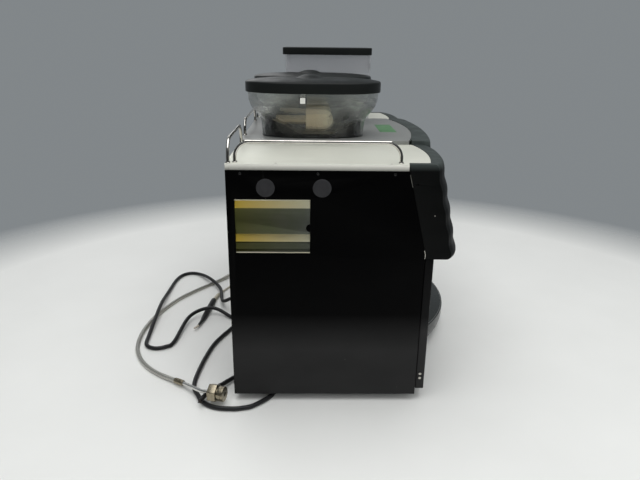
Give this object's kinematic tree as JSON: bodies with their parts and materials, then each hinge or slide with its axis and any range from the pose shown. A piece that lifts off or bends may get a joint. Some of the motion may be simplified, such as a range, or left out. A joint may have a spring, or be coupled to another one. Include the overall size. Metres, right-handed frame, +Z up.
{
  "type": "bean to cup coffee machine",
  "caption": "Wide countertop bean to cup coffee machine with bean hoppers, a powder hopper, cup rails, a sliding spout, drip tray, grounds drawer and water and mains leads.",
  "frame": {"origin": "on the surface that the machine stands on, under the middle of its box without its leads", "axes": "+X to the machine's right as seen from its front, +Y to its back, +Z up"},
  "size_m": [0.8596, 0.7809, 0.691],
  "materials": {
    "black_sheet": "black satin powder coat",
    "stainless": "brushed stainless",
    "deck_steel": "brushed stainless, darker by reflection",
    "chrome_rod": "polished",
    "charcoal_plastic": "fine textured charcoal",
    "black_plastic": "satin black",
    "gloss_black": "gloss black",
    "clear_plastic": "clear, slightly scratched",
    "frosted_plastic": "frosted clear",
    "beige_plastic": "translucent beige",
    "passivated": "yellow passivated, banded",
    "rubber_black": "matt",
    "window": "dark display window",
    "button_grey": "satin grey",
    "frame_steel": "plain sheet",
    "works_metal": "cast and turned",
    "board_green": "circuit board",
    "lead_black": "black cable sheath",
    "lead_pale": "ivory cable sheath",
    "braid": "braided stainless wire",
    "nut_brass": "nickelled brass, worn"
  },
  "bodies": {
    "machine": {"side_panel_left": "black_sheet", "side_panel_right": "black_sheet", "rear_panel": "black_sheet", "top_strip_left": "stainless", "top_strip_right": "stainless", "connection_plate": "stainless", "centre_deck": "deck_steel", "side_rail_left": "chrome_rod", "side_rail_right": "chrome_rod", "rear_rail_left": "chrome_rod", "rear_rail_centre": "chrome_rod", "rear_rail_right": "chrome_rod", "hose_tail": "chrome_rod", "fascia_left": "charcoal_plastic", "fascia_centre": "charcoal_plastic", "fascia_right": "charcoal_plastic", "control_panel": "gloss_black", "signal_boot": "gloss_black", "powder_hopper": "frosted_plastic", "cover_plate": "passivated", "hole_plug_rear": "rubber_black", "hole_plug_front": "rubber_black", "foot_front_left": "rubber_black", "foot_front_right": "rubber_black", "foot_rear_left": "rubber_black", "foot_rear_right": "rubber_black", "display_window": "window", "base_tray": "frame_steel", "inner_frame": "frame_steel", "grinder_left": "works_metal", "grinder_right": "works_metal", "brew_group": "works_metal", "boiler": "works_metal", "pump": "works_metal", "control_board": "board_green", "mains_lead": "lead_black", "signal_lead": "lead_pale", "water_hose": "braid"},
    "hopper_left": {"hopper_base_left": "black_plastic", "hopper_bowl_left": "clear_plastic"},
    "hopper_right": {"hopper_base_right": "black_plastic", "hopper_bowl_right": "clear_plastic"},
    "lid_left": {"hopper_lid_left": "black_plastic"},
    "lid_right": {"hopper_lid_right": "black_plastic"},
    "paddle_left": {"shutter_paddle_left": "beige_plastic"},
    "paddle_right": {"shutter_paddle_right": "beige_plastic"},
    "powder_cover": {"powder_lid": "black_plastic"},
    "drawer": {"drawer_front": "black_plastic", "grounds_bin": "black_plastic"},
    "door": {"service_door": "black_plastic"},
    "tray": {"drip_tray": "charcoal_plastic"},
    "grid": {"drip_grid": "stainless"},
    "spout": {"coffee_spout": "black_plastic"},
    "wand": {"steam_wand": "stainless"},
    "nut": {"union_nut": "nut_brass"},
    "key_1": {"button_1": "button_grey"},
    "key_2": {"button_2": "button_grey"},
    "key_3": {"button_3": "button_grey"},
    "key_4": {"button_4": "button_grey"}
  },
  "joints": [
    {"name": "hopper_left_lift", "type": "slide", "parent": "machine", "child": "hopper_left", "axis": [0, 0, 1], "range_m": [0, 0.05]},
    {"name": "lid_left_lift", "type": "slide", "parent": "hopper_left", "child": "lid_left", "axis": [0, 0, 1], "range_m": [0, 0.1]},
    {"name": "paddle_left_turn", "type": "hinge", "parent": "hopper_left", "child": "paddle_left", "pos_m": [-0.107, 0.10385, 0.5395], "axis": [0, -1, 0], "range_deg": [0, 90]},
    {"name": "hopper_right_lift", "type": "slide", "parent": "machine", "child": "hopper_right", "axis": [0, 0, 1], "range_m": [0, 0.05]},
    {"name": "lid_right_lift", "type": "slide", "parent": "hopper_right", "child": "lid_right", "axis": [0, 0, 1], "range_m": [0, 0.1]},
    {"name": "paddle_right_turn", "type": "hinge", "parent": "hopper_right", "child": "paddle_right", "pos_m": [0.108, 0.10385, 0.5395], "axis": [0, -1, 0], "range_deg": [0, 90]},
    {"name": "powder_lid_open", "type": "hinge", "parent": "machine", "child": "powder_cover", "pos_m": [0.29, 0.17285, 0.672], "axis": [-1, 0, 0], "range_deg": [0, 100]},
    {"name": "drawer_slide", "type": "slide", "parent": "machine", "child": "drawer", "axis": [0, -1, 0], "range_m": [0, 0.22]},
    {"name": "door_open", "type": "hinge", "parent": "machine", "child": "door", "pos_m": [0.402, -0.13515, 0.17], "axis": [0, 0, 1], "range_deg": [0, 100]},
    {"name": "tray_slide", "type": "slide", "parent": "machine", "child": "tray", "axis": [0, -1, 0], "range_m": [0, 0.2]},
    {"name": "grid_lift", "type": "slide", "parent": "tray", "child": "grid", "axis": [0, 0, 1], "range_m": [0, 0.05]},
    {"name": "spout_slide", "type": "slide", "parent": "machine", "child": "spout", "axis": [0, 0, -1], "range_m": [0, 0.06]},
    {"name": "wand_swing", "type": "hinge", "parent": "machine", "child": "wand", "pos_m": [0.135, -0.15815, 0.3037], "axis": [-1, 0, 0], "range_deg": [0, 40]},
    {"name": "nut_turn", "type": "hinge", "parent": "machine", "child": "nut", "pos_m": [-0.416, 0.29685, 0.0243], "axis": [-0.2501, -0.9682, 0.0081], "continuous": true},
    {"name": "button_1_press", "type": "slide", "parent": "machine", "child": "key_1", "axis": [0, 0.9929, -0.1191], "range_m": [0, 0.0015], "stiffness_N_per_m": 400},
    {"name": "button_2_press", "type": "slide", "parent": "machine", "child": "key_2", "axis": [0, 0.9929, -0.1191], "range_m": [0, 0.0015], "stiffness_N_per_m": 400},
    {"name": "button_3_press", "type": "slide", "parent": "machine", "child": "key_3", "axis": [0, 0.9929, -0.1191], "range_m": [0, 0.0015], "stiffness_N_per_m": 400},
    {"name": "button_4_press", "type": "slide", "parent": "machine", "child": "key_4", "axis": [0, 0.9929, -0.1191], "range_m": [0, 0.0015], "stiffness_N_per_m": 400}
  ]
}
